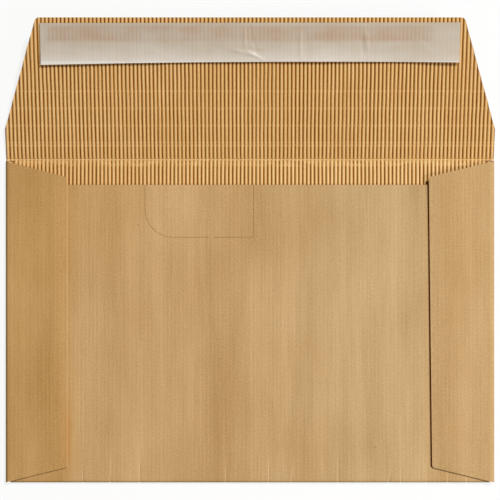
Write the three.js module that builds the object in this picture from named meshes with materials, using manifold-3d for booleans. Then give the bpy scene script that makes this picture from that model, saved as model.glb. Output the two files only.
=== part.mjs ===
// Padded envelope in single-face corrugated kraft, about C5, lying flat on its address side with its
// flap open.
//
// The whole envelope is one die-cut blank of two papers: a smooth kraft liner outside, and a fluted
// medium glued to it inside, which is the padding. The blank is drawn flat and then folded:
//   front panel   lies at the bottom, liner down, flutes up
//   back panel    hinges on the bottom fold and lies over the front panel, flutes down
//   side flaps    hinge on the side folds and lie over the back panel, flutes down, glued to it
//   top flap      hinges on a crushed score and lifts a little, flutes up
// A band of adhesive crosses the top flap near its tip, under a wider release strip.
//
// Units are millimetres. X is the envelope's width, Y runs from the bottom fold to the flap, Z is up.
// The origin is under the middle of the whole outline.

import * as THREE from "three";
import { mergeVertices } from "three/addons/utils/BufferGeometryUtils.js";
import Module from "manifold-3d";

const wasm = await Module();
wasm.setup();

// Sizes of the closed pocket
const bodyWidth = 250;
const bodyHeight = 165;
const mouthSetback = 12.6; // the back panel's top edge stops this far below the flap's score
const backPanelInset = 2.4; // the back panel's side edges, in from the side folds

// Papers of the board
const linerThickness = 0.25;
const mediumThickness = 0.2;
const fluteHeight = 0.85; // liner's inner face to the top of a crest
const flutePitch = 2;
const crestShare = 0.4; // share of a pitch that a crest's top takes

// Room between the folded layers
const pocketGap = 0.6;
const seamGlueThickness = 0.3;
const layerClearance = 0.05; // under the adhesive, and between it and the release strip

// Top flap
const flapHeight = 72.2;
const flapShoulder = 16.3; // the sides rise straight this far before they taper
const flapTaper = 17.4; // how far in each side has come by the tip
const flapCornerRadius = 2.2;
const flapLiftAngle = THREE.MathUtils.degToRad(11.3);

// Side flaps, measured inwards from the side folds
const leftFlapWidth = 31.6;
const rightFlapWidth = 33.8;
const leftFlapNarrowing = 0; // how much less a side flap reaches in at its bottom than at its top
const rightFlapNarrowing = 1.9;
const sideFlapTopTaper = 8.5;
const sideFlapBottomTaper = 8.1;
const sideFlapCornerRadius = 1.2;
const sideFluteInset = 0.3; // the side flaps' flutes stop this far inside the liner's edges
const cornerRelief = 0.5; // a side fold starts this far below the score
const bottomRelief = 0.1; // and stops this far above the bottom edge

// Creases: how far the flutes take to come down to the liner
const scoreHalfWidth = 0.6;
const foldCrushLength = 3;
const foldSteps = 6; // facets round a fold: an even number, so that an edge lies outermost

// Knife-scored tab in the back panel's liner, open at the mouth
const tabLeft = -53.7; // from the envelope's middle line
const tabWidth = 55.5;
const tabDepth = 26.8;
const tabCornerRadius = 14.4;
const tabNickStart = 32.6; // uncut bridge in the tab's lower line, from the tab's left side
const tabNickLength = 2.7;
const tabCutWidth = 0.4;
const tabCutShare = 0.56; // share of the liner's thickness that the knife goes in

// Closure on the top flap
const stripSetback = 2.6; // from the flap's tip edge
const stripEndMargin = 2.2; // from the ends of the tip edge
const stripHeight = 20.1;
const stripThickness = 0.15;
const stripLift = 1.1; // the strip's free edge rises this far off the adhesive
const stripSkew = THREE.MathUtils.degToRad(0.1);
const stripSteps = 6; // facets across the strip's lifting curve
const adhesiveSetback = 4.2; // from the flap's tip edge
const adhesiveHeight = 7.6;
const adhesiveThickness = 0.25;
const adhesiveMargin = 3; // from the strip's left end
const fingerLift = 13.8; // and from its right end, where the strip is picked up

// Seam glue between the side flaps and the back panel
const seamGlueWidth = 14;
const seamGlueEndMargin = 14;

// How far one solid reaches into or past another where they are joined or cut
const lap = 0.3;
const reach = 1;

// What follows from the sizes
const wall = linerThickness + fluteHeight;
const crestRise = fluteHeight - mediumThickness;
const bottomFoldRadius = (2 * wall + pocketGap) / 2;
const sideFoldRadius = (3 * wall + pocketGap + seamGlueThickness) / 2;
const bottomFoldArc = Math.PI * bottomFoldRadius;
const sideFoldArc = Math.PI * sideFoldRadius;
const halfWidth = bodyWidth / 2;
const panelHalfWidth = halfWidth - sideFoldRadius; // the front panel is flat this far out
const panelFlat = bodyHeight - bottomFoldRadius; // and this far down from the score
const backHalfWidth = halfWidth - backPanelInset;
const backPanelTop = 2 * wall + pocketGap; // height of its outer face
const backPanelFlat = panelFlat - mouthSetback;
const flapTipHalfWidth = halfWidth - flapTaper;
const flapReach = flapHeight * Math.cos(flapLiftAngle);
const fluteCount = Math.round(bodyWidth / flutePitch);
const pitch = bodyWidth / fluteCount; // the flutes divide the width evenly
const stripHalfLength = flapTipHalfWidth - stripEndMargin;
const adhesiveBase = wall + layerClearance;
const stripBase = adhesiveBase + adhesiveThickness + layerClearance;

const kraft = new THREE.MeshStandardMaterial({ color: 0xc7a06b, roughness: 0.82, metalness: 0 });
const medium = new THREE.MeshStandardMaterial({ color: 0xd3a160, roughness: 0.88, metalness: 0 });
const hotMelt = new THREE.MeshStandardMaterial({ color: 0xd8c39a, roughness: 0.35, metalness: 0 });
const glassine = new THREE.MeshStandardMaterial({
  color: 0xcbc3b4,
  roughness: 0.45,
  metalness: 0,
  transparent: true,
  opacity: 0.85,
});

// The long run of the blank, from the top flap through the front panel and the bottom fold to the back
// panel. u is the place across the blank, v the place along it from the score (the flap is above 0),
// and h the height through the board from its outer face.
function foldAlong(u, v, h) {
  if (v > 0) {
    const along = Math.cos(flapLiftAngle);
    const up = Math.sin(flapLiftAngle);
    return [u, v * along - h * up, v * up + h * along];
  }
  // On the score itself the two panels meet in a mitre.
  if (v === 0) return [u, -h * Math.tan(flapLiftAngle / 2), h];
  const past = -v - panelFlat;
  if (past <= 0) return [u, v, h];
  if (past < bottomFoldArc) {
    const angle = past / bottomFoldRadius;
    const radius = bottomFoldRadius - h;
    return [u, -panelFlat - radius * Math.sin(angle), bottomFoldRadius - radius * Math.cos(angle)];
  }
  return [u, -panelFlat + (past - bottomFoldArc), backPanelTop - h];
}

// A side fold and its side flap. u is the distance out from the blank's middle line, and side is 1 on
// the right and -1 on the left.
const foldSide = (side) => (u, v, h) => {
  const past = u - panelHalfWidth;
  if (past <= 0) return [side * u, v, h];
  if (past < sideFoldArc) {
    const angle = past / sideFoldRadius;
    const radius = sideFoldRadius - h;
    const out = panelHalfWidth + radius * Math.sin(angle);
    return [side * out, v, sideFoldRadius - radius * Math.cos(angle)];
  }
  return [side * (panelHalfWidth - (past - sideFoldArc)), v, 2 * sideFoldRadius - h];
};

// A closed geometry as a solid with its faces pointing out
function solid(geometry) {
  const bare = geometry.clone();
  bare.deleteAttribute("normal");
  bare.deleteAttribute("uv");
  const merged = mergeVertices(bare, 1e-5);
  const triVerts = new Uint32Array(merged.index.array);
  const vertProperties = merged.attributes.position.array;
  const build = () => new wasm.Manifold(new wasm.Mesh({ numProp: 3, vertProperties, triVerts }));
  const made = build();
  if (made.volume() > 0) return made;
  for (let i = 0; i < triVerts.length; i += 3) {
    [triVerts[i + 1], triVerts[i + 2]] = [triVerts[i + 2], triVerts[i + 1]];
  }
  return build();
}

// A thin sheet lofted through rows, and folded as it is made. Each row is a list of [u, v, low, high]:
// places on the flat blank in order across the sheet, with the heights of the sheet's two faces.
// Neighbouring rows may have different numbers of points.
function sheet(rows, fold) {
  const positions = [];
  const faces = [];
  const corners = rows.map((row) =>
    row.map(([u, v, low, high]) => {
      positions.push(...fold(u, v, low), ...fold(u, v, high));
      return positions.length / 3 - 2;
    }),
  );
  // How far across its row each point lies, from 0 to 1
  const shares = rows.map((row) => {
    const [first, last] = [row[0], row[row.length - 1]];
    const [du, dv] = [last[0] - first[0], last[1] - first[1]];
    return row.map(([u, v]) => ((u - first[0]) * du + (v - first[1]) * dv) / (du * du + dv * dv));
  });
  const stepMiddle = (share, i) => (share[i] + share[i + 1]) / 2;
  const skin = (a, b, c) => faces.push(a, c, b, a + 1, b + 1, c + 1); // both faces of the sheet
  const rim = (a, b) => faces.push(a, b, a + 1, b, b + 1, a + 1);

  for (let r = 0; r + 1 < rows.length; r++) {
    const [near, far] = [corners[r], corners[r + 1]];
    let i = 0;
    let j = 0;
    while (i + 1 < near.length || j + 1 < far.length) {
      const farIsDone = j + 1 === far.length;
      const nearIsDone = i + 1 === near.length;
      const nearIsNext = stepMiddle(shares[r], i) <= stepMiddle(shares[r + 1], j) + 1e-9;
      if (farIsDone || (!nearIsDone && nearIsNext)) {
        skin(near[i], near[i + 1], far[j]);
        i += 1;
      } else {
        skin(near[i], far[j + 1], far[j]);
        j += 1;
      }
    }
    rim(far[0], near[0]);
    rim(near[near.length - 1], far[far.length - 1]);
  }
  const [head, foot] = [corners[0], corners[corners.length - 1]];
  for (let i = 0; i + 1 < head.length; i++) rim(head[i], head[i + 1]);
  for (let i = 0; i + 1 < foot.length; i++) rim(foot[i + 1], foot[i]);

  const geometry = new THREE.BufferGeometry();
  geometry.setAttribute("position", new THREE.Float32BufferAttribute(positions, 3));
  geometry.setIndex(faces);
  return solid(geometry);
}

function box(x0, x1, y0, y1, z0, z1) {
  const geometry = new THREE.BoxGeometry(x1 - x0, y1 - y0, z1 - z0);
  return solid(geometry.translate((x0 + x1) / 2, (y0 + y1) / 2, (z0 + z1) / 2));
}

function mesh(name, body, material) {
  const made = body.getMesh();
  const geometry = new THREE.BufferGeometry();
  geometry.setAttribute("position", new THREE.BufferAttribute(made.vertProperties, 3));
  geometry.setIndex(new THREE.BufferAttribute(made.triVerts, 1));
  const result = new THREE.Mesh(geometry.toNonIndexed(), material);
  result.geometry.computeVertexNormals();
  result.name = name;
  return result;
}

const steps = (from, to, count) =>
  Array.from({ length: count + 1 }, (_, i) => from + ((to - from) * i) / count);

// Points of a rounded corner at b, on the way from a to c
function roundedCorner(a, b, c, radius) {
  const [before, corner, after] = [a, b, c].map(([x, y]) => new THREE.Vector2(x, y));
  const back = before.sub(corner).normalize();
  const on = after.sub(corner).normalize();
  const tangent = radius / Math.tan(back.angleTo(on) / 2);
  const curve = new THREE.QuadraticBezierCurve(
    corner.clone().addScaledVector(back, tangent),
    corner,
    corner.clone().addScaledVector(on, tangent),
  );
  return curve.getPoints(4).map((point) => [point.x, point.y]);
}

// Height of a polyline of [across, value] points at one place across
function follow(line, across) {
  const i = Math.max(1, line.findIndex(([x]) => x >= across - 1e-9));
  const [[x0, y0], [x1, y1]] = [line[i - 1], line[i]];
  return x1 === x0 ? y1 : y0 + ((y1 - y0) * (across - x0)) / (x1 - x0);
}

// The top flap's outline, from its left shoulder to its right one
const [leftShoulder, leftTip, rightTip, rightShoulder] = [
  [-halfWidth, flapShoulder],
  [-flapTipHalfWidth, flapHeight],
  [flapTipHalfWidth, flapHeight],
  [halfWidth, flapShoulder],
];
const flapOutline = [
  leftShoulder,
  ...roundedCorner(leftShoulder, leftTip, rightTip, flapCornerRadius),
  ...roundedCorner(leftTip, rightTip, rightShoulder, flapCornerRadius),
  rightShoulder,
];

// A side flap's slanted top and bottom ends on the flat blank. Each runs out from the panel, over the
// fold, to a corner of the flap's free edge.
function sideFlapEnds(width, narrowing) {
  const outermost = panelHalfWidth + sideFoldArc / 2;
  const freeEdge = panelHalfWidth + sideFoldArc + width - sideFoldRadius;
  const top = [
    [0, -cornerRelief],
    [outermost, -cornerRelief],
    [freeEdge, -cornerRelief - sideFlapTopTaper],
  ];
  const bottom = [
    [0, -panelFlat],
    [panelHalfWidth, -panelFlat],
    [outermost, bottomRelief - bodyHeight],
    [freeEdge - narrowing, bottomRelief - bodyHeight + sideFlapBottomTaper],
  ];
  return { top, bottom };
}

// How far the medium stands off the liner at a place across: 0 in a valley, 1 on a crest
function fluteShape(u) {
  const phase = ((((u + halfWidth) / pitch) % 1) + 1) % 1;
  const flank = (1 - crestShare) / 2;
  return Math.min(phase / flank, (1 - phase) / flank, 1);
}

// Places across the blank where the flute shape turns, with the two ends
const everyTurn = [0, (1 - crestShare) / 2, (1 + crestShare) / 2];
const valleysOnly = [0];
function flutePlaces(from, to, turns = everyTurn) {
  const first = Math.floor((from + halfWidth) / pitch);
  const last = Math.ceil((to + halfWidth) / pitch);
  const places = [from];
  for (let i = first; i <= last; i++) {
    for (const turn of turns) {
      const place = (i + turn) * pitch - halfWidth;
      if (place > from + 1e-6 && place < to - 1e-6) places.push(place);
    }
  }
  return [...places, to];
}

// One point of a row in each state of the papers
const linerAt = (u, v) => [u, v, 0, linerThickness];
const crushedAt = (u, v) => [u, v, linerThickness, linerThickness + mediumThickness];
function flutedAt(u, v) {
  const low = linerThickness + crestRise * fluteShape(u);
  return [u, v, low, low + mediumThickness];
}
const rowAcross = (v, places, paperAt) => places.map((u) => paperAt(u, v));

// The bottom fold's rows, and the back panel's far edge at the mouth
const bottomFold = steps(-panelFlat, -panelFlat - bottomFoldArc, foldSteps);
const [foldStart, foldEnd] = [bottomFold[0], bottomFold[foldSteps]];
const mouthEdge = foldEnd - backPanelFlat;

function kraftLiner() {
  const frontEdges = [-panelHalfWidth, panelHalfWidth];
  const backEdges = [-backHalfWidth, backHalfWidth];
  const longRun = sheet(
    [
      flapOutline.map(([u, v]) => linerAt(u, v)),
      rowAcross(0, [-halfWidth, halfWidth], linerAt),
      rowAcross(-cornerRelief, frontEdges, linerAt),
      rowAcross(foldStart, frontEdges, linerAt),
      ...bottomFold.slice(1).map((v) => rowAcross(v, backEdges, linerAt)),
      rowAcross(mouthEdge, backEdges, linerAt),
    ],
    foldAlong,
  );
  return longRun
    .add(sideLiner(-1, sideFlapEnds(leftFlapWidth, leftFlapNarrowing)))
    .add(sideLiner(1, sideFlapEnds(rightFlapWidth, rightFlapNarrowing)))
    .subtract(tabCut());
}

function sideLiner(side, { top, bottom }) {
  const stations = [
    panelHalfWidth - reach,
    ...steps(panelHalfWidth, panelHalfWidth + sideFoldArc, foldSteps),
  ];
  const [topCorner, bottomCorner] = [top.at(-1), bottom.at(-1)];
  const freeEdge = [
    ...roundedCorner(top.at(-2), topCorner, bottomCorner, sideFlapCornerRadius),
    ...roundedCorner(topCorner, bottomCorner, bottom.at(-2), sideFlapCornerRadius),
  ];
  return sheet(
    [
      ...stations.map((u) => [linerAt(u, follow(top, u)), linerAt(u, follow(bottom, u))]),
      freeEdge.map(([u, v]) => linerAt(u, v)),
    ],
    foldSide(side),
  );
}

// The tab's knife line: a round-cornered stretch and a square-cornered one, with a nick between them
function tabCut() {
  const half = tabCutWidth / 2;
  const pastMouth = -mouthSetback + reach;
  const base = -mouthSetback - tabDepth;
  const tabRight = tabLeft + tabWidth;
  const nickLeft = tabLeft + tabNickStart;
  const nickRight = nickLeft + tabNickLength;
  const [centreX, centreY] = [tabLeft + tabCornerRadius, base + tabCornerRadius];
  const [west, south] = [Math.PI, 1.5 * Math.PI];

  const round = new THREE.Shape();
  round.moveTo(tabLeft - half, pastMouth);
  round.absarc(centreX, centreY, tabCornerRadius + half, west, south, false);
  round.lineTo(nickLeft, base - half);
  round.lineTo(nickLeft, base + half);
  round.absarc(centreX, centreY, tabCornerRadius - half, south, west, true);
  round.lineTo(tabLeft + half, pastMouth);

  const square = new THREE.Shape();
  square.moveTo(nickRight, base - half);
  square.lineTo(tabRight + half, base - half);
  square.lineTo(tabRight + half, pastMouth);
  square.lineTo(tabRight - half, pastMouth);
  square.lineTo(tabRight - half, base + half);
  square.lineTo(nickRight, base + half);

  const depth = tabCutShare * linerThickness;
  const cut = (shape) => {
    const settings = { depth: depth + reach, bevelEnabled: false, curveSegments: 6 };
    const geometry = new THREE.ExtrudeGeometry(shape, settings);
    return solid(geometry.translate(0, 0, backPanelTop - depth));
  };
  // The side flaps lie above the back panel, and the tab stays clear of both of them.
  return cut(round).add(cut(square));
}

function flutedLining() {
  const frontPlaces = flutePlaces(-halfWidth, halfWidth);
  const frontValleys = flutePlaces(-halfWidth, halfWidth, valleysOnly);
  const backPlaces = flutePlaces(-backHalfWidth, backHalfWidth);
  const backValleys = flutePlaces(-backHalfWidth, backHalfWidth, valleysOnly);
  const backEdges = [-backHalfWidth, backHalfWidth];
  const longRun = sheet(
    [
      frontPlaces.map((u) => flutedAt(u, follow(flapOutline, u))),
      rowAcross(scoreHalfWidth, frontPlaces, flutedAt),
      rowAcross(0, frontValleys, crushedAt),
      rowAcross(-scoreHalfWidth, frontPlaces, flutedAt),
      rowAcross(foldStart + foldCrushLength, frontPlaces, flutedAt),
      rowAcross(foldStart, frontValleys, crushedAt),
      ...bottomFold.slice(1, -1).map((v) => rowAcross(v, backEdges, crushedAt)),
      rowAcross(foldEnd, backValleys, crushedAt),
      rowAcross(foldEnd - foldCrushLength, backPlaces, flutedAt),
      rowAcross(mouthEdge, backPlaces, flutedAt),
    ],
    foldAlong,
  );
  // Beside each side fold the front panel's flutes stop in their last whole valley. The top flap keeps
  // its full width down to the score.
  const lastFlute = Math.floor((panelHalfWidth - mediumThickness + halfWidth) / pitch);
  const lastValley = lastFlute * pitch - halfWidth;
  const trim = (x0, x1) =>
    box(x0, x1, -bodyHeight - reach, -cornerRelief / 2, -reach, wall + pocketGap / 2);
  return longRun
    .subtract(trim(-halfWidth - reach, -lastValley))
    .subtract(trim(lastValley, halfWidth + reach))
    .add(sideFluting(-1, sideFlapEnds(leftFlapWidth, leftFlapNarrowing), lastValley))
    .add(sideFluting(1, sideFlapEnds(rightFlapWidth, rightFlapNarrowing), lastValley));
}

// The medium is crushed flat round a side fold, and fluted again on the side flap.
function sideFluting(side, { top, bottom }, lastValley) {
  const foldOver = panelHalfWidth + sideFoldArc;
  const nextFlute = Math.ceil((foldOver + mediumThickness + halfWidth) / pitch);
  const nextValley = nextFlute * pitch - halfWidth;
  const stations = [
    lastValley - lap,
    ...steps(panelHalfWidth, foldOver, foldSteps),
    nextValley + lap,
  ];
  const crushedStrip = sheet(
    stations.map((u) => [crushedAt(u, follow(top, u)), crushedAt(u, follow(bottom, u))]),
    foldSide(side),
  );
  // The flutes run the whole height of the flap, and are cut to its slanted edges.
  const [topCorner, bottomCorner] = [top.at(-1), bottom.at(-1)];
  const places = flutePlaces(nextValley, topCorner[0]);
  const rows = [rowAcross(0, places, flutedAt), rowAcross(-bodyHeight, places, flutedAt)];
  const corners = [
    [nextValley - lap, follow(top, nextValley) - sideFluteInset],
    [topCorner[0] - sideFluteInset, topCorner[1] - sideFluteInset],
    [bottomCorner[0] - sideFluteInset, bottomCorner[1] + sideFluteInset],
    [nextValley - lap, follow(bottom, nextValley) + sideFluteInset],
  ];
  const outline = corners.map(([u, v]) => {
    const [x, y] = foldSide(side)(u, v, 0);
    return new THREE.Vector2(x, y);
  });
  const settings = { depth: wall + reach, bevelEnabled: false };
  const cutter = new THREE.ExtrudeGeometry(new THREE.Shape(outline), settings);
  cutter.translate(0, 0, 2 * sideFoldRadius - wall - seamGlueThickness / 2);
  return crushedStrip.add(sheet(rows, foldSide(side)).intersect(solid(cutter)));
}

// A band along the top flap, with its upper edge set back from the tip. It follows the strip's skew,
// and its lower edge rises by lift.
function flapBand(left, right, setback, height, base, thickness, lift, count) {
  const rows = steps(0, 1, count).map((share) =>
    [left, right].map((u) => {
      const v = flapHeight - setback - height * share + u * Math.sin(stripSkew);
      const low = base + lift * share ** 3;
      return [u, v, low, low + thickness];
    }),
  );
  return sheet(rows, foldAlong);
}

function flapAdhesive() {
  const left = -stripHalfLength + adhesiveMargin;
  const right = stripHalfLength - fingerLift;
  return flapBand(left, right, adhesiveSetback, adhesiveHeight, adhesiveBase, adhesiveThickness, 0, 1);
}

function releaseStrip() {
  return flapBand(
    -stripHalfLength,
    stripHalfLength,
    stripSetback,
    stripHeight,
    stripBase,
    stripThickness,
    stripLift,
    stripSteps,
  );
}

// A glue line under the middle of a side flap
function seamGlue(side, width) {
  const middle = side * (halfWidth - (width + sideFoldRadius) / 2);
  return box(
    middle - seamGlueWidth / 2,
    middle + seamGlueWidth / 2,
    -bodyHeight + seamGlueEndMargin,
    -mouthSetback - seamGlueEndMargin,
    backPanelTop,
    backPanelTop + seamGlueThickness,
  );
}

const envelope = new THREE.Group();
envelope.add(
  mesh("kraft_liner", kraftLiner(), kraft),
  mesh("fluted_lining", flutedLining(), medium),
  mesh("left_seam_glue", seamGlue(-1, leftFlapWidth), hotMelt),
  mesh("right_seam_glue", seamGlue(1, rightFlapWidth), hotMelt),
  mesh("flap_adhesive", flapAdhesive(), hotMelt),
  mesh("release_strip", releaseStrip(), glassine),
);
// The pieces are made with the score on Y = 0, and the outline's middle is moved there.
envelope.position.y = (bodyHeight - flapReach) / 2;

export default envelope;
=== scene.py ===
# %% [markdown]
# # A padded envelope in corrugated kraft
#
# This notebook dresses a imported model: a flat, empty mailer, cut and folded from one blank of
# single-face corrugated paper. The blank has two papers. The liner outside is smooth, and the
# medium inside is a wave, whose flutes are the padding. The flap is open and shows the flutes, with
# a strip of adhesive under a release paper.
#
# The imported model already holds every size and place. Here each sheet gets its fine form and its
# paper.

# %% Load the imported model
import math

import bmesh
import bpy
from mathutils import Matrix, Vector, noise


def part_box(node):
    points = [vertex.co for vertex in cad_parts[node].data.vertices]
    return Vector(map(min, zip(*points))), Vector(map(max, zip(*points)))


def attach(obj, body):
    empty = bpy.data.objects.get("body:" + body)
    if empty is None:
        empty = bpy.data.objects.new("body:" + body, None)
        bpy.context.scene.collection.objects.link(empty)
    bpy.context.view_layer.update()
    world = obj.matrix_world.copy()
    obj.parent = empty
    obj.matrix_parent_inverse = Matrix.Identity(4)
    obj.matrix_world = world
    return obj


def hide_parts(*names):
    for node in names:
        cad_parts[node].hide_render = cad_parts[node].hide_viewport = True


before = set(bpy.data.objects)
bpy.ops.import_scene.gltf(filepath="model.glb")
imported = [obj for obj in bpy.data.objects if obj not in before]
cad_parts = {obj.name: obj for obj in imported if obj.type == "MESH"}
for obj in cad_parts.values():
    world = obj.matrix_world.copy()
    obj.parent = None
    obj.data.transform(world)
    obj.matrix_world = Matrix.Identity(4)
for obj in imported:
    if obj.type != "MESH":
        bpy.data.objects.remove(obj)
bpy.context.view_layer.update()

# %% [markdown]
# ## Sizes
#
# The folds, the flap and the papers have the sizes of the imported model. Places on the envelope are
# counted on the flat blank: `across` from its middle line, `along` from the flap's score with the
# flap above zero, and `height` through the board from its outer face.

# %% Sizes of the board and the blank, in metres
MM = 0.001
TINY = 1e-6  # metres: closer than this, two places are the same
liner_low, liner_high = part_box("kraft_liner")
half_width = liner_high.x
body_height = 165 * MM
score_y = liner_low.y + body_height

liner_thickness = 0.25 * MM
medium_thickness = 0.2 * MM
flute_height = 0.85 * MM
flute_count = 125
pitch = 2 * half_width / flute_count
pocket_gap = 0.6 * MM
glue_thickness = 0.3 * MM
board = liner_thickness + flute_height

mouth_setback = 12.6 * MM
back_panel_inset = 2.4 * MM
back_half_width = half_width - back_panel_inset
flap_height = 72.2 * MM
flap_shoulder = 16.3 * MM
flap_taper = 17.4 * MM
flap_corner = 2.2 * MM
flap_lift = math.radians(11.3)

bottom_radius = board + pocket_gap / 2
side_radius = (3 * board + pocket_gap + glue_thickness) / 2
panel_half_width = half_width - side_radius
panel_flat = body_height - bottom_radius
bottom_arc = math.pi * bottom_radius
side_arc = math.pi * side_radius
back_panel_top = 2 * board + pocket_gap
corner_relief = 0.25 * MM
bottom_relief = 0.1 * MM
fold_end = -panel_flat - bottom_arc
mouth_edge = fold_end - (panel_flat - mouth_setback)
print("flutes:", flute_count, "pitch in mm:", round(pitch / MM, 3))


# %% [markdown]
# ## Folding
#
# A real mailer is die-cut flat and then folded, and the sheets here are made the same way. Each one
# is modelled flat, where a grid is easy to cut and a crease is a straight line, and one function
# then carries every point to its folded place. Spinning each fold by hand would give the same
# rounds, but the four sheets would have to be spun alike. One formula keeps them together.


# %% The fold
def long_fold(across, along, height):
    """Carry a point of the flap, the front panel, the bottom fold or the back panel."""
    if along > 0:
        up, out = math.sin(flap_lift), math.cos(flap_lift)
        return Vector((across, along * out - height * up, along * up + height * out))
    if along == 0:
        return Vector((across, -height * math.tan(flap_lift / 2), height))
    past = -along - panel_flat
    if past <= 0:
        return Vector((across, along, height))
    if past < bottom_arc:
        angle, radius = past / bottom_radius, bottom_radius - height
        y = -panel_flat - radius * math.sin(angle)
        return Vector((across, y, bottom_radius - radius * math.cos(angle)))
    return Vector((across, -panel_flat + past - bottom_arc, back_panel_top - height))


def side_fold(across, along, height):
    """Carry a point of a side fold or its side flap."""
    side = math.copysign(1, across)
    past = abs(across) - panel_half_width
    if past < side_arc:
        angle, radius = past / side_radius, side_radius - height
        x = panel_half_width + radius * math.sin(angle)
        return Vector((side * x, along, side_radius - radius * math.cos(angle)))
    x = panel_half_width - (past - side_arc)
    return Vector((side * x, along, 2 * side_radius - height))


def fold(piece):
    """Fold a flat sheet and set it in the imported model's place."""
    for vertex in piece.data.vertices:
        across, along, height = vertex.co
        beside = abs(across) > panel_half_width + TINY and along < -corner_relief - TINY
        beside = beside or abs(across) > half_width + TINY
        carry = side_fold if beside else long_fold
        vertex.co = carry(across, along, height) + Vector((0, score_y, 0))
    piece.data.update()


# %% [markdown]
# ## Working by hand in code
#
# In edit mode an operator acts on what is selected. So each step below picks some edges or faces by
# where they lie, and then extrudes, resizes or cuts them, as a hand would.


# %% Helpers for edit mode
def deselect_all():
    """Leave nothing selected before a new piece is added."""
    bpy.ops.object.select_all(action="DESELECT")


def edit_mode(on):
    """Go into edit mode, or leave it."""
    bpy.ops.object.mode_set(mode="EDIT" if on else "OBJECT")


def pick(kind, test):
    """Select the vertices, edges or faces of the edited mesh whose middle passes a test."""
    bpy.ops.mesh.select_mode(type=kind)
    bpy.ops.mesh.select_all(action="DESELECT")
    mesh = bmesh.from_edit_mesh(bpy.context.object.data)
    parts = {"VERT": mesh.verts, "EDGE": mesh.edges, "FACE": mesh.faces}[kind]
    for part in parts:
        corners = [part] if kind == "VERT" else part.verts
        middle = sum((corner.co for corner in corners), Vector()) / len(corners)
        if test(middle):
            part.select_set(True)
    bmesh.update_edit_mesh(bpy.context.object.data)


def flat_grid(name, columns, rows, left, right, bottom, top):
    """Add a flat grid between two places across and two along."""
    deselect_all()
    centre = ((left + right) / 2, (bottom + top) / 2, 0)
    bpy.ops.mesh.primitive_grid_add(
        x_subdivisions=columns, y_subdivisions=rows, size=1, location=centre
    )
    bpy.ops.transform.resize(value=(right - left, top - bottom, 1))
    bpy.ops.object.transform_apply(location=True, rotation=False, scale=True)
    piece = bpy.context.object
    piece.name = name
    return piece


def extrude(x, y):
    """Extrude what is selected by a step across and a step along."""
    bpy.ops.mesh.extrude_region_move(TRANSFORM_OT_translate={"value": (x, y, 0)})


def widen(factor, centre=(0, 0, 0)):
    """Resize what is selected across the sheet."""
    bpy.ops.transform.resize(value=(factor, 1, 1), center_override=centre)


def spaced(start, end, step):
    """List even places from start to end, about a step apart, without the start."""
    count = max(1, round(abs(end - start) / step))
    return [start + (end - start) * (i + 1) / count for i in range(count)]


def modify(piece, kind, **settings):
    """Give a piece a modifier and apply it."""
    modifier = piece.modifiers.new(kind.title(), kind)
    for name, value in settings.items():
        setattr(modifier, name, value)
    bpy.context.view_layer.objects.active = piece
    bpy.ops.object.modifier_apply(modifier=modifier.name)


def smooth(piece, degrees):
    """Shade a piece smooth, with edges sharper than an angle kept sharp."""
    deselect_all()
    piece.select_set(True)
    bpy.context.view_layer.objects.active = piece
    bpy.ops.object.shade_smooth_by_angle(angle=math.radians(degrees))


def corner_drop(distance, radius):
    """Say how far an edge falls back beside a rounded corner."""
    inside = max(0.0, radius - max(0.0, distance))
    return radius - math.sqrt(radius**2 - inside**2)


def mix(a, b, share):
    """Blend two numbers."""
    return a + (b - a) * share


def ramp(value, start, end):
    """Rise smoothly from 0 at start to 1 at end."""
    share = min(1.0, max(0.0, (value - start) / (end - start)))
    return share * share * (3 - 2 * share)


def drift(across, along, width, length, seed):
    """Give smooth noise at a place, with grains of this width and length."""
    return noise.noise(Vector((across / width, along / length, seed)))


# %% [markdown]
# ## The kraft liner
#
# The liner is one sheet of brown paper with a smooth face. It starts as one row of the flap's tip,
# 250 squares wide. Its lower edge is extruded row by row, down the flap, over the front panel,
# round the bottom fold and up the back panel, and each row is resized to the blank's width there.
# That way the taper, the rounded tips and the set-back of the back panel come from one outline.


# %% The long run of the liner
def blank_half_width(along):
    """Give half the liner's width at a place along the blank."""
    if along >= flap_shoulder:
        share = (along - flap_shoulder) / (flap_height - flap_shoulder)
        return half_width - flap_taper * share - corner_drop(flap_height - along, flap_corner)
    if along > -corner_relief / 2:
        return half_width
    return panel_half_width if along > -panel_flat - corner_relief / 2 else back_half_width


row_step = 3 * MM
fold_rows = 10
tip_drops = (0.15, 0.5, 1.1, 2.2)  # in mm below the tip, for its round corners
flap_rows = [flap_height - drop * MM for drop in tip_drops]
flap_rows += spaced(flap_rows[-1], flap_shoulder, row_step) + spaced(flap_shoulder, 0, row_step)
front_rows = [-corner_relief] + spaced(-corner_relief, -panel_flat, 2 * row_step)
turn_rows = spaced(-panel_flat, fold_end, bottom_arc / fold_rows)
crimp_zone = 21 * MM
back_rows = spaced(fold_end, fold_end - crimp_zone, row_step / 2)
back_rows += spaced(back_rows[-1], mouth_edge, row_step)
liner_rows = [flap_height] + flap_rows + front_rows + turn_rows + back_rows

liner_columns = 250
tip_half_width = blank_half_width(flap_height)
liner = flat_grid(
    "liner_sheet", liner_columns, 1, -tip_half_width, tip_half_width, liner_rows[1], liner_rows[0]
)
edit_mode(True)
pick("EDGE", lambda middle: abs(middle.y - liner_rows[1]) < TINY)
widen(blank_half_width(liner_rows[1]) / blank_half_width(liner_rows[0]))
for above, below in zip(liner_rows[1:], liner_rows[2:]):
    extrude(0, below - above)
    widen(blank_half_width(below) / blank_half_width(above))
print("liner rows:", len(liner_rows))

# %% [markdown]
# The side flaps grow out of the front panel's edges in the same way, column by column. A side flap
# is a little shorter with every column, because both of its ends are slanted, and its last columns
# fall back to round the corners. The right one also reaches in less far at its foot than at its
# head.

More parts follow.
